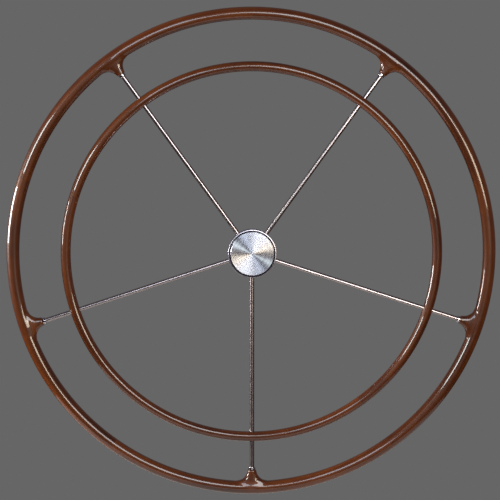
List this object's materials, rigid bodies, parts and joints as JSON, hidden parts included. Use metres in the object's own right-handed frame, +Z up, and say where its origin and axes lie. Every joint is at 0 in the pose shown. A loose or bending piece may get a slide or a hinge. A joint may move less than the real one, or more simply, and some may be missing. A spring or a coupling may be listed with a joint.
{
  "type": "ship steering wheel",
  "caption": "Large sailing yacht steering wheel: varnished wood rim with inner grab ring on slim steel rod spokes, capped hub, keyed shaft and flanged bearing unit.",
  "frame": {"origin": "on the wheel's axis, at the back face of the bearing housing where it bolts to the pedestal", "axes": "+Z up, +Y along the shaft towards the inside of the pedestal; the wheel's front faces -Y; one spoke points down -Z at rest"},
  "size_m": [1.22, 0.17, 1.2199],
  "materials": {
    "varnished_wood": "high-gloss varnished mahogany",
    "dowel_wood": "plain hardwood dowel",
    "polished_steel": "mirror polished stainless steel",
    "hub_steel": "turned and polished stainless steel",
    "turned_steel": "face-turned stainless steel",
    "fastener_steel": "plain stainless steel",
    "shaft_steel": "ground stainless steel",
    "insert_brass": "turned brass",
    "housing_metal": "bead-blasted anodised aluminium",
    "bush_bronze": "turned bronze",
    "seal_rubber": "moulded black rubber",
    "thrust_plastic": "natural acetal"
  },
  "bodies": {
    "housing": {"bearing_housing": "housing_metal", "front_bush": "bush_bronze", "rear_bush": "bush_bronze", "shaft_seal": "seal_rubber", "front_thrust_washer": "thrust_plastic", "rear_thrust_washer": "thrust_plastic"},
    "wheel": {"rim_segment_1": "varnished_wood", "rim_segment_2": "varnished_wood", "rim_segment_3": "varnished_wood", "rim_segment_4": "varnished_wood", "rim_segment_5": "varnished_wood", "ring_segment_1": "varnished_wood", "ring_segment_2": "varnished_wood", "ring_segment_3": "varnished_wood", "ring_segment_4": "varnished_wood", "ring_segment_5": "varnished_wood", "rim_dowels": "dowel_wood", "ring_dowels": "dowel_wood", "spoke_1": "polished_steel", "spoke_2": "polished_steel", "spoke_3": "polished_steel", "spoke_4": "polished_steel", "spoke_5": "polished_steel", "ferrule_1": "polished_steel", "ferrule_2": "polished_steel", "ferrule_3": "polished_steel", "ferrule_4": "polished_steel", "ferrule_5": "polished_steel", "hub_body": "hub_steel", "hub_bezel": "hub_steel", "ring_screws": "fastener_steel", "spoke_set_screws": "fastener_steel", "wheel_nut": "fastener_steel", "nut_washer": "fastener_steel", "shaft_circlip": "fastener_steel", "shaft": "shaft_steel", "shaft_key": "shaft_steel", "boss_inserts": "insert_brass"},
    "cap": {"hub_cap": "turned_steel", "cap_oring": "seal_rubber"}
  },
  "joints": [
    {"name": "wheel_spin", "type": "hinge", "parent": "housing", "child": "wheel", "pos_m": [0, -0.095, 0], "axis": [0, 1, 0], "continuous": true},
    {"name": "cap_pull", "type": "slide", "parent": "wheel", "child": "cap", "axis": [0, -1, 0], "range_m": [0, 0.04]}
  ]
}
